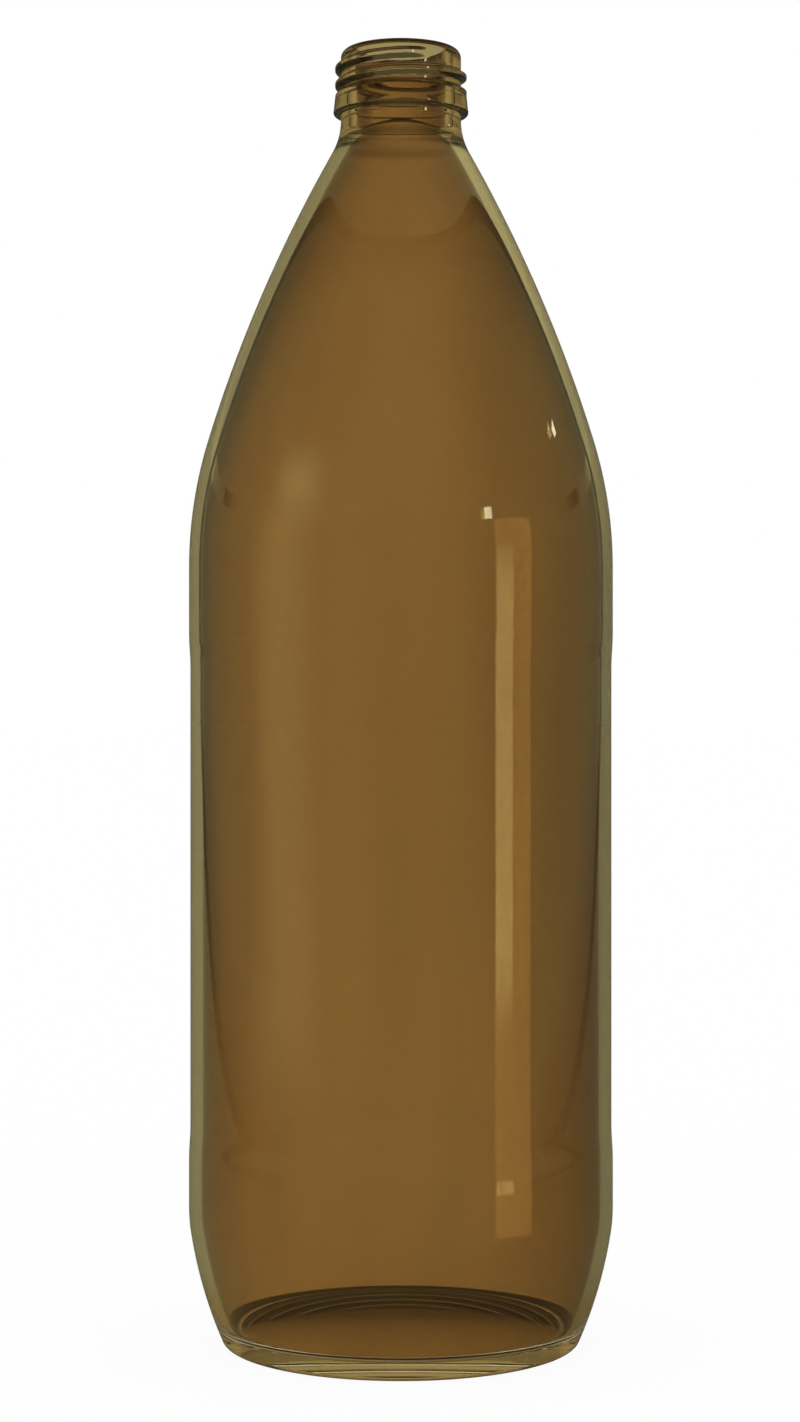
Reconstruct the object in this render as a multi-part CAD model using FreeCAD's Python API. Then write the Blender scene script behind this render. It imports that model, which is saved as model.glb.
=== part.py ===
"""Screw-top beer bottle of brown glass, empty and without its cap.

One hollow solid of revolution about Z, standing on z = 0. The outside runs from the pushed-up
underside over the bearing ring, the drawn-in heel, the label panel between its two contact
rings and the long shoulder to the neck, its bead and the rim. The inside is the same side
moved in by the wall. It closes on a domed floor below and on a straight bore above.
"""
import FreeCAD, Part
import math
import os

# Driving dimensions, in millimetres.

# The bottle as a whole.
OVERALL_HEIGHT = 279.2
BODY_RADIUS = 45.75           # the two contact rings, the widest part
WALL = 2.65                   # glass between the outer and the inner side

# Heel: the body drawn in towards the base.
HEEL_HEIGHT = 29.5            # where the drawing-in starts
HEEL_INSET = 7.55             # how far the heel's arc is drawn in by z = 0
HEEL_ARC_RADIUS = 95.0
HEEL_BLEND_RADIUS = 35.0      # between the heel's arc and the body

# Base: a bearing ring round a shallow push-up, with a domed floor above it.
BEARING_WIDTH = 2.4
BEARING_EDGE_RADIUS = 1.7     # on both edges of the bearing ring
PUSH_UP = 4.2                 # height of the underside at the middle
FLOOR_THICKNESS = 3.0         # glass at the middle
FLOOR_EDGE_HEIGHT = 4.0       # top of the floor above the bearing ring
FLOOR_CORNER_RADIUS = 3.0

# Label panel: slightly sunk between the contact rings, so that bottles do not rub a label.
LOWER_RING_HEIGHT = 10.0
UPPER_RING_HEIGHT = 14.0
PANEL_RECESS = 0.30
PANEL_STEP_HEIGHT = 8.0       # over which a contact ring eases into the panel

# Shoulder.
SHOULDER_HEIGHT = 96.8        # from the body to the foot of the neck
SHOULDER_BLEND_RADIUS = 92.5  # between the body and the shoulder's long arc
SHOULDER_ARC_RADIUS = 316.0
NECK_BLEND_RADIUS = 15.0      # between the long arc and the neck
THROAT_RADIUS = 5.0           # between the long arc and the bore, on the inside

# Neck and finish, which is the moulded part that takes the cap.
NECK_RADIUS = 13.0
NECK_WALL = 3.45              # glass between the neck and the bore
NECK_LENGTH = 1.1             # straight neck below the bead
FINISH_HEIGHT = 14.1          # from the underside of the bead to the top of the rim
BEAD_HEIGHT = 4.3
BEAD_PROJECTION = 1.67        # beyond the neck, at the bead's lower edge
BEAD_TOP_PROJECTION = 1.19    # beyond the neck, at its upper edge
BEAD_SLOPE_HEIGHT = 0.95      # from the upper edge back to the neck
BEAD_EDGE_RADIUS = 0.5
BEAD_ROOT_RADIUS = 0.4
RIM_OUTER_RADIUS = 1.8
RIM_INNER_RADIUS = 0.8


def at(radius, height):
    """Return a point of the profile, which lies in the XZ plane."""
    return FreeCAD.Vector(radius, 0, height)


def line(start, end):
    """Return the straight edge between two points."""
    return Part.LineSegment(start, end).toShape()


def arc(start, end, centre):
    """Return the shorter arc between two points round a centre."""
    halfway = (start - centre) + (end - centre)
    middle = centre + halfway.normalize() * (start - centre).Length
    return Part.Arc(start, middle, end).toShape()


def beyond(centre, target, radius):
    """Return the point that lies at a radius from a centre, in the direction of a target."""
    return centre + (target - centre).normalize() * radius


def circles_meet(centre_a, radius_a, centre_b, radius_b):
    """Return where two circles cross, on the right of the way from the first to the second."""
    distance = (centre_b - centre_a).Length
    along = (distance**2 + radius_a**2 - radius_b**2) / (2 * distance)
    aside = math.sqrt(radius_a**2 - along**2)
    way = (centre_b - centre_a).normalize()
    return centre_a + way * along + at(way.z, -way.x) * aside


def rounded_path(corners):
    """Return the edges of a path through (radius, height, rounding) corners.

    The rounding of the first and of the last corner is not used.
    """
    points = [at(radius, height) for radius, height, _ in corners]
    edges = []
    start = points[0]
    for before, corner, after, (_, _, rounding) in zip(points, points[1:], points[2:], corners[1:]):
        back = (before - corner).normalize()
        ahead = (after - corner).normalize()
        half_angle = back.getAngle(ahead) / 2
        reach = rounding / math.tan(half_angle)
        centre = corner + (back + ahead).normalize() * (rounding / math.sin(half_angle))
        edges.append(line(start, corner + back * reach))
        edges.append(arc(corner + back * reach, corner + ahead * reach, centre))
        start = corner + ahead * reach
    edges.append(line(start, points[-1]))
    return edges


# Heights and radii that follow from the driving dimensions.
BEAD_FOOT = OVERALL_HEIGHT - FINISH_HEIGHT
NECK_FOOT = BEAD_FOOT - NECK_LENGTH
SHOULDER_FOOT = NECK_FOOT - SHOULDER_HEIGHT
LOWER_RING_TOP = HEEL_HEIGHT + LOWER_RING_HEIGHT
UPPER_RING_FOOT = SHOULDER_FOOT - UPPER_RING_HEIGHT
BORE_RADIUS = NECK_RADIUS - NECK_WALL

# Centres of the arcs that the outer and the inner side share.
HEEL_BLEND_CENTRE = at(BODY_RADIUS - HEEL_BLEND_RADIUS, HEEL_HEIGHT)
HEEL_CENTRE = circles_meet(
    HEEL_BLEND_CENTRE, HEEL_ARC_RADIUS - HEEL_BLEND_RADIUS,
    at(BODY_RADIUS - HEEL_INSET, 0), HEEL_ARC_RADIUS)
SHOULDER_BLEND_CENTRE = at(BODY_RADIUS - SHOULDER_BLEND_RADIUS, SHOULDER_FOOT)
NECK_BLEND_CENTRE = at(NECK_RADIUS + NECK_BLEND_RADIUS, NECK_FOOT)
SHOULDER_CENTRE = circles_meet(
    NECK_BLEND_CENTRE, SHOULDER_ARC_RADIUS + NECK_BLEND_RADIUS,
    SHOULDER_BLEND_CENTRE, SHOULDER_ARC_RADIUS - SHOULDER_BLEND_RADIUS)


def panel_step(ring_end, panel_end, inset):
    """Return the two arcs that ease a contact ring, at one height, into the panel at another."""
    half_height = abs(panel_end - ring_end) / 2
    radius = (half_height**2 + (PANEL_RECESS / 2)**2) / PANEL_RECESS
    ring_centre = at(BODY_RADIUS - radius, ring_end)
    panel_centre = at(BODY_RADIUS - PANEL_RECESS + radius, panel_end)
    middle = beyond(ring_centre, panel_centre, radius - inset)
    return [
        arc(at(BODY_RADIUS - inset, ring_end), middle, ring_centre),
        arc(middle, at(BODY_RADIUS - PANEL_RECESS - inset, panel_end), panel_centre),
    ]


def side(inset, foot, top):
    """Return the edges of the side, moved in by the inset.

    They run from the foot, a point on the heel's arc, to the top, one on the shoulder's.
    """
    ring = BODY_RADIUS - inset
    panel = ring - PANEL_RECESS
    panel_foot = LOWER_RING_TOP + PANEL_STEP_HEIGHT
    panel_top = UPPER_RING_FOOT - PANEL_STEP_HEIGHT
    heel_end = beyond(HEEL_CENTRE, HEEL_BLEND_CENTRE, HEEL_ARC_RADIUS - inset)
    shoulder_start = beyond(SHOULDER_CENTRE, SHOULDER_BLEND_CENTRE, SHOULDER_ARC_RADIUS - inset)
    return [
        arc(foot, heel_end, HEEL_CENTRE),
        arc(heel_end, at(ring, HEEL_HEIGHT), HEEL_BLEND_CENTRE),
        line(at(ring, HEEL_HEIGHT), at(ring, LOWER_RING_TOP)),
        *panel_step(LOWER_RING_TOP, panel_foot, inset),
        line(at(panel, panel_foot), at(panel, panel_top)),
        *panel_step(UPPER_RING_FOOT, panel_top, inset),
        line(at(ring, UPPER_RING_FOOT), at(ring, SHOULDER_FOOT)),
        arc(at(ring, SHOULDER_FOOT), shoulder_start, SHOULDER_BLEND_CENTRE),
        arc(shoulder_start, top, SHOULDER_CENTRE),
    ]


def base_and_outer_side():
    """Return the edges of the outside, from the middle of the underside to the neck."""
    reach = HEEL_ARC_RADIUS - BEARING_EDGE_RADIUS
    drop = HEEL_CENTRE.z - BEARING_EDGE_RADIUS
    outer_edge = at(HEEL_CENTRE.x + math.sqrt(reach**2 - drop**2), BEARING_EDGE_RADIUS)
    inner_edge = outer_edge - at(BEARING_WIDTH, 0)
    dome_radius = (inner_edge.x**2 + PUSH_UP**2) / (2 * PUSH_UP) - BEARING_EDGE_RADIUS
    dome_centre = at(0, PUSH_UP - dome_radius)
    dome_end = beyond(dome_centre, inner_edge, dome_radius)
    heel_start = beyond(HEEL_CENTRE, outer_edge, HEEL_ARC_RADIUS)
    neck_start = beyond(SHOULDER_CENTRE, NECK_BLEND_CENTRE, SHOULDER_ARC_RADIUS)
    return [
        arc(at(0, PUSH_UP), dome_end, dome_centre),
        arc(dome_end, at(inner_edge.x, 0), inner_edge),
        line(at(inner_edge.x, 0), at(outer_edge.x, 0)),
        arc(at(outer_edge.x, 0), heel_start, outer_edge),
        *side(0, heel_start, neck_start),
        arc(neck_start, at(NECK_RADIUS, NECK_FOOT), NECK_BLEND_CENTRE),
    ]


def inner_side_and_floor():
    """Return the edges of the inside, from the bore to the middle of the floor."""
    floor_middle = PUSH_UP + FLOOR_THICKNESS
    rise = floor_middle - FLOOR_EDGE_HEIGHT
    floor_radius = ((BODY_RADIUS - HEEL_INSET - BEARING_WIDTH)**2 + rise**2) / (2 * rise)
    floor_centre = at(0, floor_middle - floor_radius)
    corner = circles_meet(
        floor_centre, floor_radius + FLOOR_CORNER_RADIUS,
        HEEL_CENTRE, HEEL_ARC_RADIUS - WALL - FLOOR_CORNER_RADIUS)
    floor_end = beyond(floor_centre, corner, floor_radius)
    heel_start = beyond(HEEL_CENTRE, corner, HEEL_ARC_RADIUS - WALL)
    throat_centre = at(BORE_RADIUS + THROAT_RADIUS, throat_height())
    throat_end = beyond(SHOULDER_CENTRE, throat_centre, SHOULDER_ARC_RADIUS - WALL)
    return [
        arc(at(BORE_RADIUS, throat_height()), throat_end, throat_centre),
        *side(WALL, heel_start, throat_end),
        arc(heel_start, floor_end, corner),
        arc(floor_end, at(0, floor_middle), floor_centre),
    ]


def throat_height():
    """Return the height at which the bore starts to widen into the shoulder."""
    reach = SHOULDER_ARC_RADIUS - WALL + THROAT_RADIUS
    out = BORE_RADIUS + THROAT_RADIUS - SHOULDER_CENTRE.x
    return SHOULDER_CENTRE.z + math.sqrt(reach**2 - out**2)


def finish():
    """Return the edges of the neck, the bead, the rim and the bore."""
    bead_top = BEAD_FOOT + BEAD_HEIGHT
    return rounded_path([
        (NECK_RADIUS, NECK_FOOT, 0),
        (NECK_RADIUS, BEAD_FOOT, BEAD_ROOT_RADIUS),
        (NECK_RADIUS + BEAD_PROJECTION, BEAD_FOOT, BEAD_EDGE_RADIUS),
        (NECK_RADIUS + BEAD_TOP_PROJECTION, bead_top, BEAD_EDGE_RADIUS),
        (NECK_RADIUS, bead_top + BEAD_SLOPE_HEIGHT, BEAD_ROOT_RADIUS),
        (NECK_RADIUS, OVERALL_HEIGHT, RIM_OUTER_RADIUS),
        (BORE_RADIUS, OVERALL_HEIGHT, RIM_INNER_RADIUS),
        (BORE_RADIUS, throat_height(), 0),
    ])


def bottle():
    """Return the glass of the bottle as one solid."""
    axis = line(at(0, PUSH_UP + FLOOR_THICKNESS), at(0, PUSH_UP))
    edges = [*base_and_outer_side(), *finish(), *inner_side_and_floor(), axis]
    profile = Part.Face(Part.Wire(Part.__sortEdges__(edges)))
    return profile.revolve(FreeCAD.Vector(0, 0, 0), FreeCAD.Vector(0, 0, 1), 360)


os.makedirs("parts", exist_ok=True)
bottle().exportStep("parts/bottle.step")
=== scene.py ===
"""Looks of an empty screw-top beer bottle of brown glass, standing in a plain bright studio.

The glass is one closed shell, lathed from its profile by Geometry Nodes, with the screw thread
raised out of the finish by the same nodes. Lengths of the bottle are in millimetres and become
metres where a mesh is made.
"""

import logging
import math
from dataclasses import dataclass, field
from enum import Enum

import bpy
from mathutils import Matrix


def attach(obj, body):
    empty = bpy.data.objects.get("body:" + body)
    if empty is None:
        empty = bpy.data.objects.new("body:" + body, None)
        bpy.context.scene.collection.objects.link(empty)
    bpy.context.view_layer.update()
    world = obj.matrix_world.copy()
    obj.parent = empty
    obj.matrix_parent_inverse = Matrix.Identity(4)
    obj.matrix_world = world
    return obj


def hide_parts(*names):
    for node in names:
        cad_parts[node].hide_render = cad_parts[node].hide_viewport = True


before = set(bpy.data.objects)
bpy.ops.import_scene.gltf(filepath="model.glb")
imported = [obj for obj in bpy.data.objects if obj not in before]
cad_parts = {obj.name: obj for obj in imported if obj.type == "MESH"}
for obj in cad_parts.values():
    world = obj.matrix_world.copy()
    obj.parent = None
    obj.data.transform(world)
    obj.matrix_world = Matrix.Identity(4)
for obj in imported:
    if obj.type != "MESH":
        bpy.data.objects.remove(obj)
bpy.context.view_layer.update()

LOG = logging.getLogger("beer_bottle")
MM = 0.001
HALF = 0.5  # the middle of a panel, and the margin that tells whole numbers apart
WHITE = (1.0, 1.0, 1.0)
ARC_STEPS_PER_MM = 8
FEWEST_ARC_STEPS = 4
Colour = tuple[float, float, float]
Point = tuple[float, float]
Socket = bpy.types.NodeSocket
Sockets = bpy.types.bpy_prop_collection


class Side(Enum):
    """Side of the glass that a part of the profile belongs to."""

    OUTER = 0.0
    INNER = 1.0


class NodeTree:
    """Short ways to add nodes to a node tree and to join them."""

    def __init__(self, tree: bpy.types.NodeTree) -> None:
        """Keep the tree that the nodes go into.

        Args:
            tree: The node tree of a material, a world or a modifier.
        """
        self.tree = tree

    @classmethod
    def on(cls, owner: bpy.types.ID) -> "NodeTree":
        """Start the node tree of a material, a world or a lamp.

        Args:
            owner: What the nodes are for.

        Returns:
            Its node tree, with no nodes in it.
        """
        owner.use_nodes = True
        owner.node_tree.nodes.clear()
        return cls(owner.node_tree)

    def add(self, kind: str, inputs: dict | None = None, **settings: object) -> bpy.types.Node:
        """Add one node.

        Args:
            kind: Blender's name of the node type.
            inputs: What each input gets, by name or number: a socket to join, or a value.
            settings: Properties of the node, set before its inputs.

        Returns:
            The new node.
        """
        node = self.tree.nodes.new(kind)
        for name, value in settings.items():
            setattr(node, name, value)
        for key, value in (inputs or {}).items():
            if isinstance(value, Socket):
                self.tree.links.new(value, node.inputs[key])
            else:
                node.inputs[key].default_value = value
        return node

    def math(self, operation: str, *values: object, clamp: bool = False) -> Socket:
        """Add a Math node on sockets and numbers, with its result kept in 0 to 1 if asked."""
        inputs = dict(enumerate(values))
        return self.add("ShaderNodeMath", inputs, operation=operation, use_clamp=clamp).outputs[0]

    def vector(self, operation: str, *values: object) -> Socket:
        """Add a Vector Math node on sockets and triples of numbers."""
        node = self.add("ShaderNodeVectorMath", dict(enumerate(values)), operation=operation)
        return node.outputs["Value" if operation == "LENGTH" else "Vector"]

    def scale(self, vector: Socket, factor: Socket) -> Socket:
        """Multiply a vector or a colour by a number."""
        return self.add("ShaderNodeVectorMath", {0: vector, "Scale": factor},
                        operation="SCALE").outputs[0]

    def split(self, vector: Socket) -> Sockets:
        """Split a vector into sockets named X, Y and Z."""
        return self.add("ShaderNodeSeparateXYZ", {0: vector}).outputs

    def noise(self, place: Socket, scale: float, detail: float, roughness: float = 0.5) -> Socket:
        """Add a cloudy pattern between 0 and 1, with a number of finer layers."""
        return self.add("ShaderNodeTexNoise", {
            "Vector": place, "Scale": scale, "Detail": detail, "Roughness": roughness,
        }).outputs["Fac"]

    def between(self, value: Socket, low: float, high: float) -> Socket:
        """Test whether a value is between two limits, as 1 or 0."""
        return self.math("MULTIPLY", self.math("GREATER_THAN", value, low),
                         self.math("LESS_THAN", value, high))

    def band(self, value: Socket, start: float, full: float, end: float, clear: float) -> Socket:
        """Add a band that rises from 0 at start to 1 at full, and falls from 1 at end to 0 at clear."""
        return self.math("MULTIPLY", self.ease(value, start, full, 0.0, 1.0),
                         self.ease(value, end, clear, 1.0, 0.0))

    def ease(self, value: Socket, low: object, high: object, first: float,
             second: float, smooth: bool = True) -> Socket:
        """Add a change from one number to another as a value grows.

        Args:
            value: The value that grows.
            low: The value at which the change starts, a socket or a number.
            high: The value at which it ends, a socket or a number.
            first: The number before the change.
            second: The number after it.
            smooth: Whether the change starts and ends gently, or is straight.

        Returns:
            The socket with the number.
        """
        kind = "SMOOTHSTEP" if smooth else "LINEAR"
        return self.add("ShaderNodeMapRange", {
            "Value": value, "From Min": low, "From Max": high, "To Min": first, "To Max": second,
        }, interpolation_type=kind).outputs[0]

    def choose(self, share: Socket, no: object, yes: object) -> Socket:
        """Mix two numbers, each a socket or a plain one, by the share of the second."""
        return self.add("ShaderNodeMix", {0: share, 2: no, 3: yes}).outputs[0]

    def mix(self, share: Socket, first: object, second: object) -> Socket:
        """Mix two colours.

        Args:
            share: Share of the second colour.
            first: A socket, or a plain colour.
            second: A socket, or a plain colour.

        Returns:
            The socket with the mixed colour.
        """
        colours = [c if isinstance(c, Socket) else (*c, 1.0) for c in (first, second)]
        node = self.add("ShaderNodeMix", {0: share, 6: colours[0], 7: colours[1]}, data_type="RGBA")
        return node.outputs[2]


def metres(*sizes: float) -> tuple[float, ...]:
    """Turn millimetres into metres."""
    return tuple(size * MM for size in sizes)


def arc(start: Point, end: Point, centre: Point, steps: int) -> list[Point]:
    """Work out points along the shorter arc between two points.

    Args:
        start: First point, as (radius, height).
        end: Last point.
        centre: Centre of the arc.
        steps: Number of equal steps.

    Returns:
        The points after the start, the end among them.
    """
    radius = math.dist(start, centre)
    first = math.atan2(start[1] - centre[1], start[0] - centre[0])
    last = math.atan2(end[1] - centre[1], end[0] - centre[0])
    turn = (last - first + math.pi) % (2 * math.pi) - math.pi
    return [
        (centre[0] + radius * math.cos(first + turn * i / steps),
         centre[1] + radius * math.sin(first + turn * i / steps))
        for i in range(1, steps + 1)
    ]


def line(start: Point, end: Point, steps: int = 1) -> list[Point]:
    """Work out points along a straight line.

    Args:
        start: First point, as (radius, height).
        end: Last point.
        steps: Number of equal steps.

    Returns:
        The points after the start, the end among them.
    """
    return [
        (start[0] + (end[0] - start[0]) * i / steps, start[1] + (end[1] - start[1]) * i / steps)
        for i in range(1, steps + 1)
    ]


def beyond(centre: Point, target: Point, radius: float) -> Point:
    """Find the point at a radius from a centre, in the direction of a target.

    Args:
        centre: Where the radius starts.
        target: Point that gives the direction.
        radius: Distance from the centre, negative for the opposite direction.

    Returns:
        The point.
    """
    share = radius / math.dist(centre, target)
    return (centre[0] + (target[0] - centre[0]) * share, centre[1] + (target[1] - centre[1]) * share)


def circles_meet(centre_a: Point, radius_a: float, centre_b: Point, radius_b: float) -> Point:
    """Find where two circles cross, on the right of the way from the first to the second.

    Args:
        centre_a: Centre of the first circle.
        radius_a: Its radius.
        centre_b: Centre of the second circle.
        radius_b: Its radius.

    Returns:
        The crossing point.
    """
    distance = math.dist(centre_a, centre_b)
    along = (distance**2 + radius_a**2 - radius_b**2) / (2 * distance)
    aside = math.sqrt(radius_a**2 - along**2)
    way = ((centre_b[0] - centre_a[0]) / distance, (centre_b[1] - centre_a[1]) / distance)
    return (centre_a[0] + way[0] * along + way[1] * aside, centre_a[1] + way[1] * along - way[0] * aside)


def rounded_path(corners: list[tuple[float, float, float, int]]) -> list[Point]:
    """Work out a path through corners with their roundings.

    Args:
        corners: (radius, height, rounding, steps) of each corner. The steps divide the straight
            run before the corner. The first and the last corner are sharp.

    Returns:
        The points after the first corner, the last one among them.
    """
    points: list[Point] = []
    start = corners[0][:2]
    for before, corner, after in zip(corners, corners[1:], corners[2:]):
        here, rounding = corner[:2], corner[2]
        back = beyond(here, before[:2], 1)
        ahead = beyond(here, after[:2], 1)
        middle = ((back[0] + ahead[0]) / 2, (back[1] + ahead[1]) / 2)
        half_angle = math.asin(min(1, math.dist(back, ahead) / 2))
        reach = rounding / math.tan(half_angle)
        centre = beyond(here, middle, rounding / math.sin(half_angle))
        points += line(start, beyond(here, before[:2], reach), corner[3])
        steps = max(FEWEST_ARC_STEPS, round(rounding * ARC_STEPS_PER_MM))
        points += arc(points[-1], beyond(here, after[:2], reach), centre, steps)
        start = points[-1]
    return points + line(start, corners[-1][:2], corners[-1][3])


@dataclass(frozen=True)
class BrownGlass:
    """Brown container glass, tinted where light goes through a surface.

    Attributes:
        name: Name of the material.
        walls: What two walls leave of white light.
        outer: What two crossings of the outer surface alone leave of it.
        outer_thick: The same where the glass is thick, in the base and the finish.
        thick_base: Heights between which the base thins out, in millimetres.
        thick_finish: Heights between which the finish thickens.
        slant: What is left of the inner colour where light skims the inner surface.
        slope_shade: Painted shade: what is left of the outer colour on the finish where the surface
        slopes, as on the flanks of the thread and the edges of the bead, darkened there to
        stand in for the light that they lead the long way round.
        slope_shade_from: How level the surface has to lie to count as sloping at all, and fully.
        neck_shade_heights: Heights of the painted shade round the foot of the neck, where the glass is
        thickest: it starts to darken, is darkest, is so no more, and ends.
        neck_shade_tint: What the painted shade leaves of the outer colour where that ring is seen
        edge on.
        neck_shade_edge_on: How much edge on it has to be seen to look dark at all, and darkest.
        foot_shade: Radius outside which the edge of the foot is painted dark, as shade, and the
        heights below which it is darkest and above which it is so no more.
        foot_shade_tint: What the painted shade leaves of the outer colour on that edge.
        streak: How much the drawn-out streaks in the glass change its colour.
        streak_noise: Scale, detail and roughness of their pattern.
        streak_stretch: Its scale along the bottle's axis, as part of that across it.
        streak_spread: Values of the pattern at which the glass is deepest and palest.
        ior: Index of refraction.
        smoothest: Roughness of the cleanest spots.
        roughest: Roughness of the least clean spots.
        marks_noise: Scale and detail of the pattern that handling leaves.
        marks_spread: Values of that pattern at which the glass is smoothest and roughest.
        ripple: Height of the mould's ripple, in millimetres.
        ripple_noise: Scale and detail of its pattern.
        preview_opacity: Opacity in a plain preview.
    """

    name: str = "brown_glass"
    walls: Colour = (0.198, 0.096, 0.0198)
    outer: Colour = (0.330, 0.275, 0.110)
    outer_thick: Colour = (0.305, 0.205, 0.060)
    thick_base: tuple[float, float] = (8.0, 20.0)
    thick_finish: tuple[float, float] = (257.5, 259.5)
    slant: float = 0.35
    slope_shade: float = 0.06
    slope_shade_from: tuple[float, float] = (0.1, 0.5)
    neck_shade_heights: tuple[float, float, float, float] = (256.2, 257.0, 259.0, 259.8)
    neck_shade_tint: float = 0.1
    neck_shade_edge_on: tuple[float, float] = (0.3, 0.6)
    foot_shade: tuple[float, float, float] = (35.5, 0.3, 0.8)
    foot_shade_tint: float = 0.3
    streak: float = 0.05
    streak_noise: tuple[float, float, float] = (60.0, 2.0, 0.4)
    streak_stretch: float = 0.12
    streak_spread: tuple[float, float] = (0.3, 0.7)
    ior: float = 1.52
    smoothest: float = 0.0
    roughest: float = 0.004
    marks_noise: tuple[float, float] = (45.0, 3.0)
    marks_spread: tuple[float, float] = (0.35, 0.75)
    ripple: float = 0.004
    ripple_noise: tuple[float, float] = (35.0, 1.0)
    preview_opacity: float = 0.6

    def material(self) -> bpy.types.Material:
        """Build the material.

        Returns:
            The material, with its node tree.
        """
        material = bpy.data.materials.new(self.name)
        nodes = NodeTree.on(material)
        place = nodes.add("ShaderNodeTexCoord").outputs["Object"]
        glass = nodes.add("ShaderNodeBsdfPrincipled", {
            "Base Color": self._tint(nodes, place),
            "Roughness": self._handling(nodes, place),
            "Normal": self._ripple(nodes, place),
            "IOR": self.ior,
            "Transmission Weight": 1.0,
        })
        nodes.add("ShaderNodeOutputMaterial", {"Surface": glass.outputs[0]})
        material.diffuse_color = (*self.outer, self.preview_opacity)
        return material

    def _tint(self, nodes: NodeTree, place: Socket) -> Socket:
        """Mix the tint of each side and height, the painted shade, and the drawn-out glass's streaks.

        Args:
            nodes: The material's nodes.
            place: Object coordinates.

        Returns:
            The socket with the colour.
        """
        inside = nodes.add("ShaderNodeAttribute", attribute_name=Bottle.INSIDE).outputs["Fac"]
        facing = nodes.add("ShaderNodeLayerWeight").outputs["Facing"]
        normal = nodes.add("ShaderNodeNewGeometry").outputs["True Normal"]
        level = nodes.math("ABSOLUTE", nodes.split(normal)["Z"])
        height = nodes.split(place)["Z"]
        in_base = nodes.ease(height, *metres(*self.thick_base), 1.0, 0.0)
        in_finish = nodes.ease(height, *metres(*self.thick_finish), 0.0, 1.0)
        outer = nodes.mix(nodes.math("ADD", in_base, in_finish), self.outer, self.outer_thick)
        inner = nodes.vector("DIVIDE", self.walls, outer)
        # Painted shade: darken the outer colour on the finish's slopes, on the neck ring seen edge on,
        # and on the foot's outer edge.
        left = nodes.math("MULTIPLY", self._painted_slope_shade(nodes, level, in_finish),
                          self._painted_neck_shade(nodes, height, facing))
        left = nodes.math("MULTIPLY", left, self._painted_foot_shade(nodes, place, height))
        slanted = nodes.math("MULTIPLY", facing, nodes.math("SUBTRACT", 1.0, level))
        skimmed = nodes.ease(slanted, 0.0, 1.0, 1.0, self.slant, False)
        tint = nodes.mix(inside, nodes.scale(outer, left), nodes.scale(inner, skimmed))
        drawn = nodes.add("ShaderNodeMapping", {
            "Vector": place, "Scale": (1.0, 1.0, self.streak_stretch)}).outputs[0]
        share = nodes.ease(nodes.noise(drawn, *self.streak_noise), *self.streak_spread,
                           1 - self.streak, 1 + self.streak, False)
        return nodes.scale(tint, share)

    def _painted_slope_shade(self, nodes: NodeTree, level: Socket, in_finish: Socket) -> Socket:
        """Say what the painted shade leaves of the outer colour on the slopes of the finish."""
        sloped = nodes.math("MULTIPLY", nodes.ease(level, *self.slope_shade_from, 0.0, 1.0), in_finish)
        return nodes.choose(sloped, 1.0, self.slope_shade)

    def _painted_neck_shade(self, nodes: NodeTree, height: Socket, facing: Socket) -> Socket:
        """Say what painted shade leaves of the outer colour on the thick neck ring, seen edge on."""
        ring = nodes.math("MULTIPLY", nodes.band(height, *metres(*self.neck_shade_heights)),
                          nodes.ease(facing, *self.neck_shade_edge_on, 0.0, 1.0))
        return nodes.choose(ring, 1.0, self.neck_shade_tint)

    def _painted_foot_shade(self, nodes: NodeTree, place: Socket, height: Socket) -> Socket:
        """Paint shade on the outer edge of the foot.

        Args:
            nodes: The material's nodes.
            place: Object coordinates.
            height: Height on the bottle, in metres.

        Returns:
            The socket with what is left of the outer colour.
        """
        outside, dark, light = metres(*self.foot_shade)
        radius = nodes.vector("LENGTH", nodes.vector("MULTIPLY", place, (1.0, 1.0, 0.0)))
        edge = nodes.math("MULTIPLY", nodes.ease(height, dark, light, 1.0, 0.0),
                          nodes.math("GREATER_THAN", radius, outside))
        return nodes.choose(edge, 1.0, self.foot_shade_tint)

    def _handling(self, nodes: NodeTree, place: Socket) -> Socket:
        """Vary the roughness as handling leaves it."""
        marks = nodes.noise(place, *self.marks_noise)
        return nodes.ease(marks, *self.marks_spread, self.smoothest, self.roughest, False)

    def _ripple(self, nodes: NodeTree, place: Socket) -> Socket:
        """Give the surface the faint, long ripple that a mould leaves."""
        swell = nodes.noise(place, *self.ripple_noise)
        return nodes.add("ShaderNodeBump", {
            "Height": swell, "Strength": 1.0, "Distance": self.ripple * MM,
        }).outputs[0]


@dataclass(frozen=True)
class ScrewThread:
    """Right-hand thread that stands on the finish and takes the cap.

    Attributes:
        depth: Height of the ridge above the finish, in millimetres.
        pitch: Rise in one turn.
        base_width: Width of the ridge where it stands on the finish.
        crest_width: Width of its flat crest.
        height: Height of the ridge's middle at azimuth 0 of its turn 0.
        first_turn: Where the ridge starts above the bead, in turns.
        last_turn: Where it ends below the rim, in turns.
        run_in: Length of its sloping ends, in turns.
        faintest: Rise below which there is no ridge.
    """

    depth: float = 1.24
    pitch: float = 3.44
    base_width: float = 2.63
    crest_width: float = 0.61
    height: float = 273.24
    first_turn: float = -1.15
    last_turn: float = 0.822
    run_in: float = 0.06
    faintest: float = 0.0001


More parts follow.
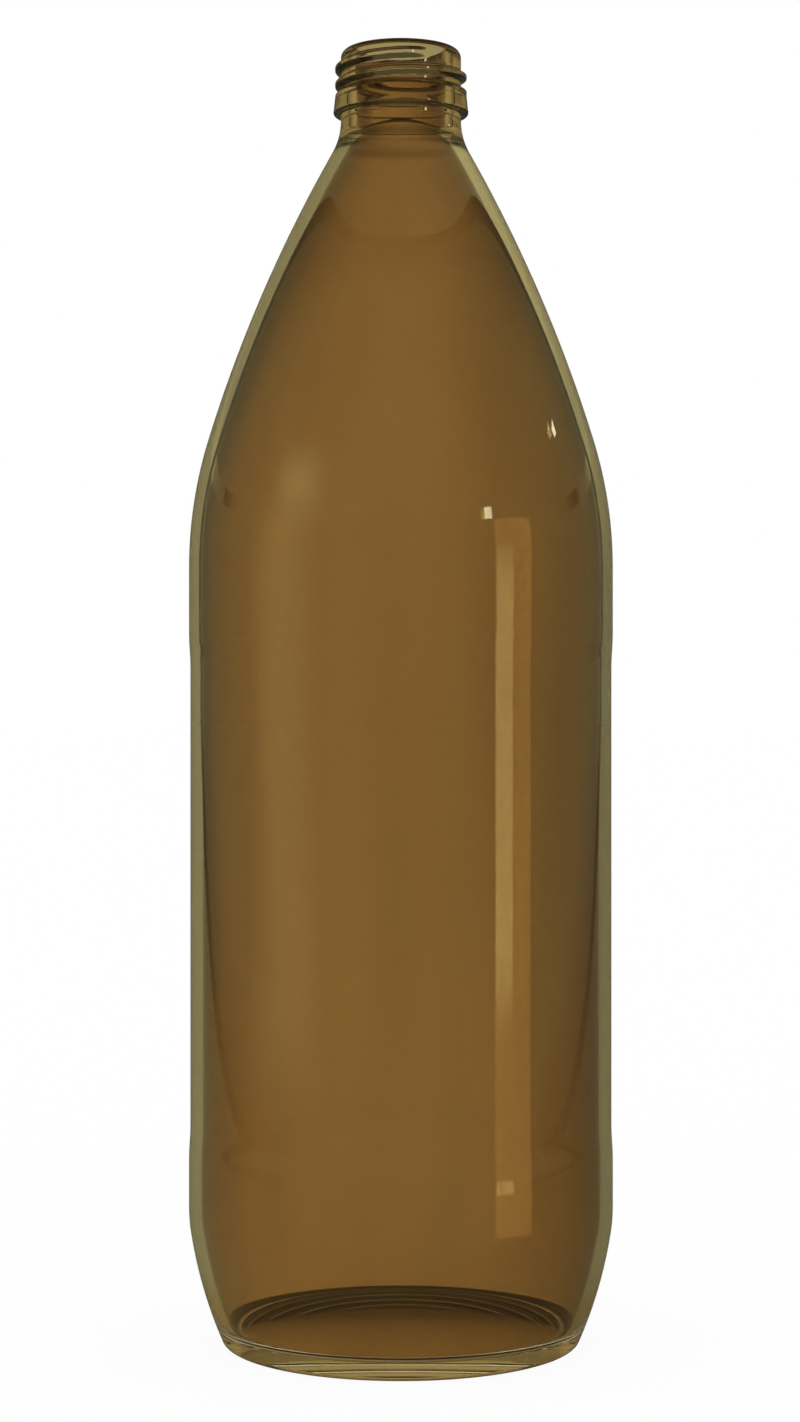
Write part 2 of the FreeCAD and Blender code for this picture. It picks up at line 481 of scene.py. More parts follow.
@dataclass(frozen=True)
class ProfileSteps:
    """Number of steps in each part of the bottle's profile.

    Attributes:
        dome: The dome under the base, and the floor above it.
        bearing: The flat ring that the bottle stands on.
        bearing_edge: Each rounded edge of that ring.
        corner: The corner between the floor and the heel.
        heel: The heel's long arc.
        heel_blend: The arc from the heel to the side.
        ring: The side at each contact ring.
        panel: The side at the sunk panel.
        panel_step: Each half of the ease between a ring and the panel.
        shoulder_blend: The arc from the side to the shoulder.
        shoulder: The shoulder's long arc.
        neck_blend: The arc from the shoulder to the neck.
        throat: The arc from the shoulder to the bore.
        bore: The straight bore.
        rim: The rim's inner edge.
        thread: The finish above the bead, where the thread is.
    """

    dome: int = 16
    bearing: int = 2
    bearing_edge: int = 8
    corner: int = 10
    heel: int = 12
    heel_blend: int = 6
    ring: int = 2
    panel: int = 6
    panel_step: int = 5
    shoulder_blend: int = 14
    shoulder: int = 18
    neck_blend: int = 12
    throat: int = 10
    bore: int = 4
    rim: int = 7
    thread: int = 48


@dataclass
class Bottle:
    """The glass: base, heel, label panel, shoulder, neck and finish, in one hollow piece.

    The sizes are those of the bottle's solid, in millimetres. INSIDE names the attribute that
    holds the side of each point.

    Attributes:
        thread: Thread of the finish.
        glass: Finish of the whole piece.
        steps: Steps in the parts of the profile.
        segments: Segments round the axis.
        merge_distance: Distance within which two points become one.
    """

    INSIDE = "inside"

    height: float = 279.2
    body_radius: float = 45.75
    wall: float = 2.65

    heel_height: float = 29.5
    heel_inset: float = 7.55
    heel_arc_radius: float = 95.0
    heel_blend_radius: float = 35.0

    bearing_width: float = 2.4
    bearing_edge_radius: float = 1.7
    push_up: float = 4.2
    floor_thickness: float = 3.0
    floor_edge_height: float = 4.0
    floor_corner_radius: float = 3.0

    lower_ring_height: float = 10.0
    upper_ring_height: float = 14.0
    panel_recess: float = 0.30
    panel_step_height: float = 8.0

    shoulder_height: float = 96.8
    shoulder_blend_radius: float = 92.5
    shoulder_arc_radius: float = 316.0
    neck_blend_radius: float = 15.0
    throat_radius: float = 5.0

    neck_radius: float = 13.0
    neck_wall: float = 3.45
    neck_length: float = 1.1
    finish_height: float = 14.1
    bead_height: float = 4.3
    bead_projection: float = 1.67
    bead_top_projection: float = 1.19
    bead_slope_height: float = 0.95
    bead_edge_radius: float = 0.5
    bead_root_radius: float = 0.4
    rim_outer_radius: float = 1.8
    rim_inner_radius: float = 0.8

    thread: ScrewThread = field(default_factory=ScrewThread)
    glass: BrownGlass = field(default_factory=BrownGlass)
    steps: ProfileSteps = field(default_factory=ProfileSteps)
    segments: int = 256
    merge_distance: float = 0.001

    def __post_init__(self) -> None:
        """Work out the heights and the arc centres that follow from the sizes."""
        self.bead_foot = self.height - self.finish_height
        self.neck_foot = self.bead_foot - self.neck_length
        self.shoulder_foot = self.neck_foot - self.shoulder_height
        self.bore_radius = self.neck_radius - self.neck_wall
        self.heel_blend_centre = (self.body_radius - self.heel_blend_radius, self.heel_height)
        self.heel_centre = circles_meet(
            self.heel_blend_centre, self.heel_arc_radius - self.heel_blend_radius,
            (self.body_radius - self.heel_inset, 0), self.heel_arc_radius)
        self.shoulder_blend_centre = (self.body_radius - self.shoulder_blend_radius, self.shoulder_foot)
        self.neck_blend_centre = (self.neck_radius + self.neck_blend_radius, self.neck_foot)
        self.shoulder_centre = circles_meet(
            self.neck_blend_centre, self.shoulder_arc_radius + self.neck_blend_radius,
            self.shoulder_blend_centre, self.shoulder_arc_radius - self.shoulder_blend_radius)
        reach = self.shoulder_arc_radius - self.wall + self.throat_radius
        out = self.bore_radius + self.throat_radius - self.shoulder_centre[0]
        self.throat_height = self.shoulder_centre[1] + math.sqrt(reach**2 - out**2)

    def _step(self, ring_end: float, panel_end: float, inset: float, upward: bool) -> list[Point]:
        """Work out the ease between a contact ring and the sunk panel.

        Args:
            ring_end: Height at which the ring ends.
            panel_end: Height at which the panel starts.
            inset: Distance of the side from the outer one.
            upward: Whether the way goes from the ring to the panel.

        Returns:
            The points after the first end, the other end among them.
        """
        half_height = abs(panel_end - ring_end) / 2
        radius = (half_height**2 + (self.panel_recess / 2)**2) / self.panel_recess
        ring_centre = (self.body_radius - radius, ring_end)
        panel_centre = (self.body_radius - self.panel_recess + radius, panel_end)
        ring = (self.body_radius - inset, ring_end)
        panel = (self.body_radius - self.panel_recess - inset, panel_end)
        middle = beyond(ring_centre, panel_centre, radius - inset)
        steps = self.steps.panel_step
        if upward:
            return arc(ring, middle, ring_centre, steps) + arc(middle, panel, panel_centre, steps)
        return arc(panel, middle, panel_centre, steps) + arc(middle, ring, ring_centre, steps)

    def _side(self, inset: float, foot: Point, top: Point) -> list[Point]:
        """Work out the side from the heel to the shoulder.

        Args:
            inset: Distance from the outer side.
            foot: Where the side starts, on the heel's arc.
            top: Where it ends, on the shoulder's arc.

        Returns:
            The points after the foot, the top among them.
        """
        ring = self.body_radius - inset
        lower_ring_top = self.heel_height + self.lower_ring_height
        upper_ring_foot = self.shoulder_foot - self.upper_ring_height
        panel_foot = lower_ring_top + self.panel_step_height
        panel_top = upper_ring_foot - self.panel_step_height
        panel = ring - self.panel_recess
        steps = self.steps
        heel_end = beyond(self.heel_centre, self.heel_blend_centre, self.heel_arc_radius - inset)
        shoulder_start = beyond(
            self.shoulder_centre, self.shoulder_blend_centre, self.shoulder_arc_radius - inset)
        return [
            *arc(foot, heel_end, self.heel_centre, steps.heel),
            *arc(heel_end, (ring, self.heel_height), self.heel_blend_centre, steps.heel_blend),
            *line((ring, self.heel_height), (ring, lower_ring_top), steps.ring),
            *self._step(lower_ring_top, panel_foot, inset, True),
            *line((panel, panel_foot), (panel, panel_top), steps.panel),
            *self._step(upper_ring_foot, panel_top, inset, False),
            *line((ring, upper_ring_foot), (ring, self.shoulder_foot), steps.ring),
            *arc((ring, self.shoulder_foot), shoulder_start, self.shoulder_blend_centre,
                 steps.shoulder_blend),
            *arc(shoulder_start, top, self.shoulder_centre, steps.shoulder),
        ]

    def outer_profile(self) -> list[Point]:
        """Work out the outside, from the middle of the underside to the top of the rim.

        Returns:
            The points, as (radius, height).
        """
        edge = self.bearing_edge_radius
        reach = self.heel_arc_radius - edge
        drop = self.heel_centre[1] - edge
        outer_edge = (self.heel_centre[0] + math.sqrt(reach**2 - drop**2), edge)
        inner_edge = (outer_edge[0] - self.bearing_width, edge)
        dome_radius = (inner_edge[0]**2 + self.push_up**2) / (2 * self.push_up) - edge
        dome_centre = (0.0, self.push_up - dome_radius)
        dome_end = beyond(dome_centre, inner_edge, dome_radius)
        heel_start = beyond(self.heel_centre, outer_edge, self.heel_arc_radius)
        neck_start = beyond(self.shoulder_centre, self.neck_blend_centre, self.shoulder_arc_radius)
        bead_top = self.bead_foot + self.bead_height
        neck = self.neck_radius
        steps = self.steps
        return [
            (0.0, self.push_up),
            *arc((0.0, self.push_up), dome_end, dome_centre, steps.dome),
            *arc(dome_end, (inner_edge[0], 0), inner_edge, steps.bearing_edge),
            *line((inner_edge[0], 0), (outer_edge[0], 0), steps.bearing),
            *arc((outer_edge[0], 0), heel_start, outer_edge, steps.bearing_edge),
            *self._side(0, heel_start, neck_start),
            *arc(neck_start, (neck, self.neck_foot), self.neck_blend_centre, steps.neck_blend),
            *rounded_path([
                (neck, self.neck_foot, 0, 1),
                (neck, self.bead_foot, self.bead_root_radius, 2),
                (neck + self.bead_projection, self.bead_foot, self.bead_edge_radius, 1),
                (neck + self.bead_top_projection, bead_top, self.bead_edge_radius, 4),
                (neck, bead_top + self.bead_slope_height, self.bead_root_radius, 3),
                (neck, self.height, self.rim_outer_radius, steps.thread),
                (self.bore_radius + self.rim_inner_radius, self.height, 0, 2),
            ]),
        ]

    def inner_profile(self) -> list[Point]:
        """Work out the inside, from the top of the rim to the middle of the floor.

        Returns:
            The points, as (radius, height).
        """
        floor_middle = self.push_up + self.floor_thickness
        rise = floor_middle - self.floor_edge_height
        foot = self.body_radius - self.heel_inset - self.bearing_width
        floor_radius = (foot**2 + rise**2) / (2 * rise)
        floor_centre = (0.0, floor_middle - floor_radius)
        corner = circles_meet(
            floor_centre, floor_radius + self.floor_corner_radius,
            self.heel_centre, self.heel_arc_radius - self.wall - self.floor_corner_radius)
        floor_end = beyond(floor_centre, corner, floor_radius)
        heel_start = beyond(self.heel_centre, corner, self.heel_arc_radius - self.wall)
        throat = (self.bore_radius, self.throat_height)
        throat_centre = (self.bore_radius + self.throat_radius, self.throat_height)
        throat_end = beyond(self.shoulder_centre, throat_centre, self.shoulder_arc_radius - self.wall)
        bore_end = (self.bore_radius, self.height - self.rim_inner_radius)
        rim_centre = (self.bore_radius + self.rim_inner_radius, bore_end[1])
        steps = self.steps
        up = [
            (0.0, floor_middle),
            *arc((0.0, floor_middle), floor_end, floor_centre, steps.dome),
            *arc(floor_end, heel_start, corner, steps.corner),
            *self._side(self.wall, heel_start, throat_end),
            *arc(throat_end, throat, throat_centre, steps.throat),
            *line(throat, bore_end, steps.bore),
            *arc(bore_end, (rim_centre[0], self.height), rim_centre, steps.rim),
        ]
        return up[::-1]

    def _profile_object(self) -> bpy.types.Object:
        """Make the profile as a chain of edges, with the side that each point belongs to.

        Returns:
            The object that the lathe's modifier goes on.
        """
        outer = self.outer_profile()
        inner = self.inner_profile()[1:]
        points = outer + inner
        mesh = bpy.data.meshes.new("glass_profile")
        mesh.from_pydata(
            [(radius * MM, 0.0, height * MM) for radius, height in points],
            [(i, i + 1) for i in range(len(points) - 1)], [])
        side = mesh.attributes.new(self.INSIDE, "FLOAT", "POINT")
        values = [Side.OUTER.value] * len(outer) + [Side.INNER.value] * len(inner)
        side.data.foreach_set("value", values)
        profile = bpy.data.objects.new("glass_profile", mesh)
        bpy.context.scene.collection.objects.link(profile)
        return profile

    def _lathe(self) -> tuple[bpy.types.NodeTree, dict[str, str]]:
        """Build the Geometry Nodes that turn the profile into the glass with its thread.

        Returns:
            The node tree, and the identifier of each of its inputs by name.
        """
        tree = bpy.data.node_groups.new("bottle_lathe", "GeometryNodeTree")
        names: dict[str, str] = {}
        for name, kind in (
                ("Profile", "NodeSocketGeometry"), ("Segments", "NodeSocketInt"),
                ("Finish Radius", "NodeSocketFloat"), ("Thread Depth", "NodeSocketFloat"),
                ("Thread Pitch", "NodeSocketFloat"), ("Thread Base Width", "NodeSocketFloat"),
                ("Thread Crest Width", "NodeSocketFloat"), ("Thread Height", "NodeSocketFloat"),
                ("Thread First Turn", "NodeSocketFloat"), ("Thread Last Turn", "NodeSocketFloat"),
                ("Thread Run In", "NodeSocketFloat"), ("Glass", "NodeSocketMaterial")):
            names[name] = tree.interface.new_socket(name, in_out="INPUT", socket_type=kind).identifier
        tree.interface.new_socket("Bottle", in_out="OUTPUT", socket_type="NodeSocketGeometry")
        nodes = NodeTree(tree)
        given = nodes.add("NodeGroupInput").outputs

        # One row of the grid for each point of the profile, one column for each segment.
        rows = nodes.add("GeometryNodeAttributeDomainSize", {0: given["Profile"]}).outputs[0]
        columns = nodes.math("ADD", given["Segments"], 1)
        grid = nodes.add("GeometryNodeMeshGrid", {"Vertices X": columns, "Vertices Y": rows}).outputs[0]
        index = nodes.add("GeometryNodeInputIndex").outputs[0]
        row = nodes.math("MODULO", index, rows)
        turn = nodes.math("DIVIDE", nodes.math("FLOOR", nodes.math("DIVIDE", index, rows)),
                          given["Segments"])
        position = nodes.add("GeometryNodeInputPosition").outputs[0]
        there = nodes.add("GeometryNodeSampleIndex", {
            0: given["Profile"], "Value": position, "Index": row}, data_type="FLOAT_VECTOR").outputs[0]
        spot = nodes.split(there)
        inside = nodes.add("GeometryNodeInputNamedAttribute", {0: self.INSIDE}).outputs[0]
        side = nodes.add("GeometryNodeSampleIndex", {
            0: given["Profile"], "Value": inside, "Index": row}).outputs[0]

        radius = nodes.math("MAXIMUM", spot["X"], self._ridge(nodes, given, turn, spot["Z"], side))
        angle = nodes.math("MULTIPLY", turn, 2 * math.pi)
        place = nodes.add("ShaderNodeCombineXYZ", {
            "X": nodes.math("MULTIPLY", radius, nodes.math("COSINE", angle)),
            "Y": nodes.math("MULTIPLY", radius, nodes.math("SINE", angle)),
            "Z": spot["Z"],
        }).outputs[0]
        sided = nodes.add("GeometryNodeStoreNamedAttribute", {
            "Geometry": grid, "Name": self.INSIDE, "Value": side}).outputs[0]
        turned = nodes.add("GeometryNodeSetPosition", {"Geometry": sided, "Position": place}).outputs[0]
        closed = nodes.add("GeometryNodeMergeByDistance", {
            "Geometry": turned, "Distance": self.merge_distance * MM}).outputs[0]
        smooth = nodes.add("GeometryNodeSetShadeSmooth", {"Geometry": closed}).outputs[0]
        real = nodes.add("GeometryNodeRealizeInstances", {0: smooth}).outputs[0]
        dressed = nodes.add("GeometryNodeSetMaterial", {
            "Geometry": real, "Material": given["Glass"]}).outputs[0]
        nodes.add("NodeGroupOutput", {0: dressed})
        return tree, names

    def _ridge(self, nodes: NodeTree, given: Sockets, turn: Socket, height: Socket,
               side: Socket) -> Socket:
        """Work out how far out the thread reaches at each point of the finish.

        Args:
            nodes: The lathe's nodes.
            given: The lathe's inputs.
            turn: Azimuth of the point, in turns.
            height: Height of the point, in metres.
            side: Side of the glass that the point is on.

        Returns:
            The socket with the radius, which is 0 away from the thread.
        """
        risen = nodes.math("DIVIDE", nodes.math("SUBTRACT", height, given["Thread Height"]),
                           given["Thread Pitch"])
        apart = nodes.math("SUBTRACT", risen, turn)
        whole = nodes.math("ROUND", apart)
        aside = nodes.math("MULTIPLY", nodes.math("ABSOLUTE", nodes.math("SUBTRACT", apart, whole)),
                           given["Thread Pitch"])
        half_crest = nodes.math("DIVIDE", given["Thread Crest Width"], 2)
        half_base = nodes.math("DIVIDE", given["Thread Base Width"], 2)
        flank = nodes.ease(aside, half_crest, half_base, 1.0, 0.0)
        along = nodes.math("ADD", turn, whole)
        start = nodes.math("DIVIDE", nodes.math("SUBTRACT", along, given["Thread First Turn"]),
                           given["Thread Run In"], clamp=True)
        end = nodes.math("DIVIDE", nodes.math("SUBTRACT", given["Thread Last Turn"], along),
                         given["Thread Run In"], clamp=True)
        length = nodes.math("MINIMUM", start, end)
        rise = nodes.math("MULTIPLY", given["Thread Depth"], nodes.math("MULTIPLY", flank, length))
        reach = nodes.math("ADD", given["Finish Radius"], rise)
        ridge = nodes.math("MULTIPLY", nodes.math("GREATER_THAN", rise, self.thread.faintest * MM),
                           nodes.math("LESS_THAN", side, HALF))
        return nodes.math("MULTIPLY", reach, ridge)

    def build(self) -> bpy.types.Object:
        """Build the glass and put it in the place of the plain solid.

        Returns:
            The finished piece.
        """
        profile = self._profile_object()
        tree, names = self._lathe()
        thread = self.thread
        modifier = profile.modifiers.new("lathe", "NODES")
        modifier.node_group = tree
        for name, value in (
                ("Segments", self.segments), ("Finish Radius", self.neck_radius * MM),
                ("Thread Depth", thread.depth * MM), ("Thread Pitch", thread.pitch * MM),
                ("Thread Base Width", thread.base_width * MM),
                ("Thread Crest Width", thread.crest_width * MM),
                ("Thread Height", thread.height * MM), ("Thread First Turn", thread.first_turn),
                ("Thread Last Turn", thread.last_turn), ("Thread Run In", thread.run_in),
                ("Glass", self.glass.material())):
            modifier[names[name]] = value
        evaluated = profile.evaluated_get(bpy.context.evaluated_depsgraph_get())
        mesh = bpy.data.meshes.new_from_object(evaluated)
        mesh.name = "bottle_glass"
        bpy.data.objects.remove(profile)
        piece = bpy.data.objects.new("bottle_glass", mesh)
        bpy.context.scene.collection.objects.link(piece)
        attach(piece, "root")
        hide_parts("bottle")
        return piece


@dataclass(frozen=True)
class SoftLight:
    """A soft light panel that faces the bottle.

    Attributes:
        name: Name of the lamp.
        azimuth: Direction from the bottle, in degrees to the right of the camera's.
        distance: Distance from the bottle's axis, in millimetres.
        low: Height of its lower edge.
        high: Height of its upper edge.
        width: Its width.
        strength: Brightness, where 1 is white.
        colour: Colour of its light.
        side_fade: Share of the half width over which it fades out to the sides.
        end_fade: Share of the half height over which it fades out to the ends.
        mirrored: Whether the outer surface mirrors it, or only the inner one does.
        deepest: Most surfaces between the eye and the lamp, which leaves out the far wall.
    """

    name: str
    azimuth: float
    distance: float
    low: float
    high: float
    width: float
    strength: float
    colour: Colour = (1.0, 1.0, 1.0)
    side_fade: float = 0.2
    end_fade: float = 0.2
    mirrored: bool = False
    deepest: int = 4

    def build(self) -> bpy.types.Object:
        """Hang the light.

        Returns:
            The lamp.
        """
        lamp = bpy.data.lights.new(self.name, "AREA")
        lamp.shape = "RECTANGLE"
        lamp.size = self.width * MM
        lamp.size_y = (self.high - self.low) * MM
        lamp.energy = self.strength * math.pi * lamp.size * lamp.size_y
        lamp.color = self.colour
        self._soften(lamp)
        side = math.radians(self.azimuth)
        light = bpy.data.objects.new(self.name, lamp)
        light.location = (math.sin(side) * self.distance * MM, -math.cos(side) * self.distance * MM,
                          (self.low + self.high) / 2 * MM)
        light.rotation_euler = (math.radians(90), 0.0, side)
        light.visible_camera = False
        light.visible_diffuse = False
        light.visible_glossy = self.mirrored
        bpy.context.scene.collection.objects.link(light)
        return light

    def _soften(self, lamp: bpy.types.Light) -> None:
        """Fade the panel out towards its edges, and keep it off the far wall of the bottle.

        Args:
            lamp: The lamp to fade.
        """
        nodes = NodeTree.on(lamp)
        parts = nodes.split(nodes.add("ShaderNodeNewGeometry").outputs["Parametric"])
        depth = nodes.add("ShaderNodeLightPath").outputs["Ray Depth"]
        strength = nodes.math("LESS_THAN", depth, self.deepest + HALF)
        for part, fade in ((parts["X"], self.side_fade), (parts["Y"], self.end_fade)):
            off = nodes.math("ABSOLUTE", nodes.math("SUBTRACT", part, HALF))
            share = nodes.ease(off, HALF - fade / 2, HALF, 1.0, 0.0)
            strength = nodes.math("MULTIPLY", strength, share)
        glow = nodes.add("ShaderNodeEmission", {"Strength": strength})
        nodes.add("ShaderNodeOutputLight", {"Surface": glow.outputs[0]})


@dataclass
class Studio:
    """Plain pale floor, white surroundings, soft lights and the camera.

    The eye sees white. Light that comes through the glass sees the surroundings below, which set
    how bright each part of the bottle is. A direction is given by its angle off straight away
    from the camera, and by its rise, which is how far it goes up as part of its length.

    Attributes:
        floor_size: Side of the floor, in metres.
        floor_paint: Share of the floor's white that needs light, and so takes shadows.
        floor_through_glass: The same where the floor is seen through glass.
        floor_front: Depths before which the floor in front shows the surroundings, from which it
            is plain, up to which it is plain, and behind which it shows them, in metres.
        floor_plain: What the floor shows through glass where it is plain.
        floor_eye: Depth and height that the floor's surroundings are seen from, in metres.
        under_bottle: Depths between which the shade under the bottle deepens, and its radius, in
            millimetres.
        under_shade: What the deepest of that shade takes away.
        contact_ring: Radii at which the shade round the foot starts, is first full, is last full
            and ends, in millimetres.
        contact_shade: What that shade leaves.
        side_grey: What the outer surface mirrors.
        mouth_light: What one wall alone shows, as at the mouth.
        glow_azimuth: Direction of the glow behind the bottle, in degrees to the right.
        glow_width: Degrees from its middle at which it has sunk to a third.
        glow_lean: Degrees that its middle goes to the right from level to straight up.
        glow_repeat: Number of such glows in half a turn.
        glow_low: Brightness between the glows.
        glow_high: Brightness in their middle.
        glow_fade: Rises between which the glows fade, and what is left of them.
        overhead: The same for the dark overhead.
        side_rise: Rises between which the level sides turn into the high ones.
        side_blend: How far right or left a direction goes where one side has wholly given way to
            the other.
        finish_rise: Rises between which the inner surface of the finish mirrors the sides.
        level_sides: Brightness of the left and the right side near the level.
        high_sides: The same higher up.
        open_side: Brightness of the sides for the finish and for light mirrored again and again.
        flag: Degrees off straight away at which each black flag starts and ends, and at which
            the shade beside it ends.
        finish_flag: The same for the finish.
        flag_lean: Degrees that the flags would lean out straight up.
        flag_lean_power: Power of the rise that their lean grows with.
        flag_grey: Brightness of the flags, and of the deepest shade beside them.
        back_wall_light: Brightness that light mirrored inside the far wall sees.
        far_heel_light: Brightness that light through more than both walls sees.
        one_wall: Surfaces that light crosses in one wall.
        both_walls: Surfaces that it crosses in both.
        bounces: Most turns of a ray of light.
        camera_place: Place of the camera, in metres.
        lens: Focal length of the camera, in millimetres.
        sensor: Width of its sensor, in millimetres.
        nearest: Nearest distance that it sees, in metres.
        lights: The lamps, which the bottle's surfaces mirror.
    """

    floor_size: float = 40.0
    floor_paint: float = 0.06
    floor_through_glass: float = 0.08
    floor_front: tuple[float, float, float, float] = (-1.0, -0.3, -0.15, -0.06)
    floor_plain: Colour = (0.95, 0.95, 0.95)
    floor_eye: tuple[float, float] = (-0.5, 0.03)
    under_bottle: tuple[float, float, float] = (-20.0, 15.0, 34.0)
    under_shade: float = 0.6
    contact_ring: tuple[float, float, float, float] = (35.6, 37.2, 41.0, 43.0)
    contact_shade: float = 0.12
    side_grey: Colour = (0.070, 0.072, 0.055)
    mouth_light: Colour = (0.75, 0.88, 0.77)
    glow_azimuth: float = -4.5
    glow_width: float = 10.5
    glow_lean: float = 20.0
    glow_repeat: int = 4
    glow_low: float = 0.55
    glow_high: float = 1.2
    glow_fade: tuple[float, float, float] = (0.04, 0.20, 0.88)
    overhead: tuple[float, float, float] = (0.50, 0.60, 0.08)
    side_rise: tuple[float, float] = (0.03, 0.37)
    side_blend: float = 0.1
    finish_rise: tuple[float, float] = (0.198, 0.237)
    level_sides: tuple[float, float] = (0.70, 0.41)
    high_sides: tuple[float, float] = (0.75, 1.3)
    open_side: float = 1.08
    flag: tuple[float, float, float] = (33.6, 37.2, 58.0)
    finish_flag: tuple[float, float, float] = (58.2, 66.0, 78.5)
    flag_lean: float = 135.0
    flag_lean_power: float = 3.0
    flag_grey: tuple[float, float] = (0.03, 0.4)
    back_wall_light: float = 0.30
    far_heel_light: float = 0.65
    one_wall: int = 2
    both_walls: int = 4
    bounces: int = 24
    camera_place: tuple[float, float, float] = (-0.0002, -0.60624, 0.13619)
    lens: float = 70.886
    sensor: float = 36.0
    nearest: float = 0.01
    lights: tuple[SoftLight, ...] = (
        SoftLight("window", 57.0, 170.0, 2.0, 206.0, 65.0, 4.8, (1.0, 0.6, 0.31), 0.1, 0.02),
        SoftLight("window_pane", 51.7, 168.0, 50.0, 192.0, 29.0, 6.9, side_fade=0.1, end_fade=0.4),
        SoftLight("window_catch", 51.7, 168.0, 16.3, 24.8, 29.0, 6.9, side_fade=0.1, end_fade=0.1),
        SoftLight("far_lamp", 48.0, 6000.0, 1500.0, 1860.0, 520.0, 9.3, (1.0, 0.92, 0.66),
                  0.3, 0.2, True),
        SoftLight("side_lamp", 109.0, 6000.0, 2850.0, 3050.0, 400.0, 9.3, (1.0, 0.92, 0.66),
                  0.3, 0.3, True),
        SoftLight("soft_box", -61.0, 1600.0, 330.0, 1250.0, 1350.0, 4.6, side_fade=1.0, end_fade=1.0),
        SoftLight("long_box", -61.0, 200.0, 20.0, 230.0, 180.0, 2.5, (1.0, 0.9, 0.8), 1.0, 0.4),
    )

    def build(self) -> None:
        """Set up the whole studio."""
        self._floor()
        self._world()
        for light in self.lights:
            light.build()
            LOG.info("light %s", light.name)
        self._camera()
        scene = bpy.context.scene
        scene.view_settings.view_transform = "Standard"
        scene.cycles.glossy_bounces = self.bounces
        scene.cycles.transmission_bounces = self.bounces
        scene.cycles.max_bounces = self.bounces

    def _backdrop(self, nodes: NodeTree, azimuth: Socket, rise: Socket) -> Socket:
        """Light the backdrop with soft glows, one of them behind the bottle.

        Args:
            nodes: The nodes to add to.
            azimuth: Direction of the ray, in radians to the right of straight away.
            rise: How far the ray goes up, as part of its length.

        Returns:
            The socket with the brightness that shows through both walls.
        """
        middle = nodes.math("MULTIPLY_ADD", nodes.math("MAXIMUM", rise, 0.0),
                            math.radians(self.glow_lean), math.radians(self.glow_azimuth))
        off = nodes.math("MULTIPLY", nodes.math("SUBTRACT", azimuth, middle), self.glow_repeat)
        share = nodes.math("DIVIDE", nodes.math("SINE", off),
                           self.glow_repeat * math.radians(self.glow_width))
        bell = nodes.math("EXPONENT", nodes.math("MULTIPLY", nodes.math("MULTIPLY", share, share), -1.0))
        glow = nodes.ease(bell, 0.0, 1.0, self.glow_low, self.glow_high, False)
        for low, high, left in (self.glow_fade, self.overhead):
            glow = nodes.math("MULTIPLY", glow, nodes.ease(rise, low, high, 1.0, left))
        return glow

    def _sides(self, nodes: NodeTree, right: Socket, away: Socket, rise: Socket) -> Socket:
        """Light the sides, which show in the thickness of the wall, and stand a black flag on each.

        Args:
            nodes: The nodes to add to.
            right: How far the ray goes to the right, as part of its length.
            away: How far it goes straight away.
            rise: How far it goes up.

        Returns:
            The socket with the brightness that a ray sees once off the inner surface.
        """
        higher = nodes.ease(rise, *self.side_rise, 0.0, 1.0, False)
        level, high = (nodes.ease(right, -self.side_blend, self.side_blend, *sides)
                       for sides in (self.level_sides, self.high_sides))
        lit = nodes.choose(higher, level, high)
        finish = nodes.between(rise, *self.finish_rise)
        body = nodes.math("SUBTRACT", 1.0, finish)
        lit = nodes.choose(finish, lit, self.open_side)
        height = nodes.math("POWER", nodes.math("ABSOLUTE", rise), self.flag_lean_power)
        leaning = nodes.math("MULTIPLY", height, -math.radians(self.flag_lean))
        aside = nodes.math("ADD", nodes.math("ARCCOSINE", away), leaning)
        for place, flag in ((body, self.flag), (finish, self.finish_flag)):
            start, end, clear = map(math.radians, flag)
            shade = nodes.choose(nodes.math("GREATER_THAN", aside, end), self.flag_grey[0],
                                 nodes.ease(aside, end, clear, self.flag_grey[1], 1.0))
            behind = nodes.math("MULTIPLY", nodes.math("GREATER_THAN", aside, start), place)
            lit = nodes.choose(behind, lit, shade)
        start, end, _ = map(math.radians, self.flag)
        return nodes.choose(nodes.between(aside, start, end), lit, self.flag_grey[0])

    def _seen(self, nodes: NodeTree, way: Socket) -> tuple[Socket, Socket, Socket]:
        """Work out what rays see of the surroundings.

        Args:
            nodes: The nodes to add to.
            way: Direction of the ray, of length 1.

        Returns:
            A socket that is 1 for camera rays, one that is 1 for rays that come through the glass
            to the lit surroundings, and the colour that these see.
        """
        path = nodes.add("ShaderNodeLightPath").outputs
        mirrored, crossed = path["Glossy Depth"], path["Transmission Depth"]
        parts = nodes.split(way)
        azimuth = nodes.math("ARCTAN2", parts["X"], parts["Y"])
        straight = nodes.math("LESS_THAN", mirrored, HALF)
        once = nodes.math("COMPARE", mirrored, 1.0, HALF)
        one_wall = nodes.math("LESS_THAN", crossed, self.one_wall + HALF)
        sides = self._sides(nodes, parts["X"], parts["Y"], parts["Z"])
        near = nodes.choose(once, self.open_side, sides)
        bounced = nodes.choose(one_wall, self.back_wall_light, near)
        deep = nodes.math("GREATER_THAN", crossed, self.both_walls + HALF)
        clear = nodes.choose(deep, self._backdrop(nodes, azimuth, parts["Z"]), self.far_heel_light)
        light = nodes.choose(straight, bounced, clear)
        grey = nodes.add("ShaderNodeCombineXYZ", {0: light, 1: light, 2: light}).outputs[0]
        mouth = nodes.math("MULTIPLY", straight, one_wall)
        colour = nodes.mix(mouth, grey, self.mouth_light)
        through = nodes.math("GREATER_THAN", crossed, HALF)
        return path["Is Camera Ray"], through, colour

    def _floor(self) -> None:
        """Lay the floor, which is white to the eye and still takes the bottle's shadow."""
        mesh = bpy.data.meshes.new("studio_floor")
        half = self.floor_size / 2
        mesh.from_pydata([(-half, -half, 0), (half, -half, 0), (half, half, 0), (-half, half, 0)],
                         [], [(0, 1, 2, 3)])
        mesh.materials.append(self._pale_floor())
        floor = bpy.data.objects.new("studio_floor", mesh)
        bpy.context.scene.collection.objects.link(floor)

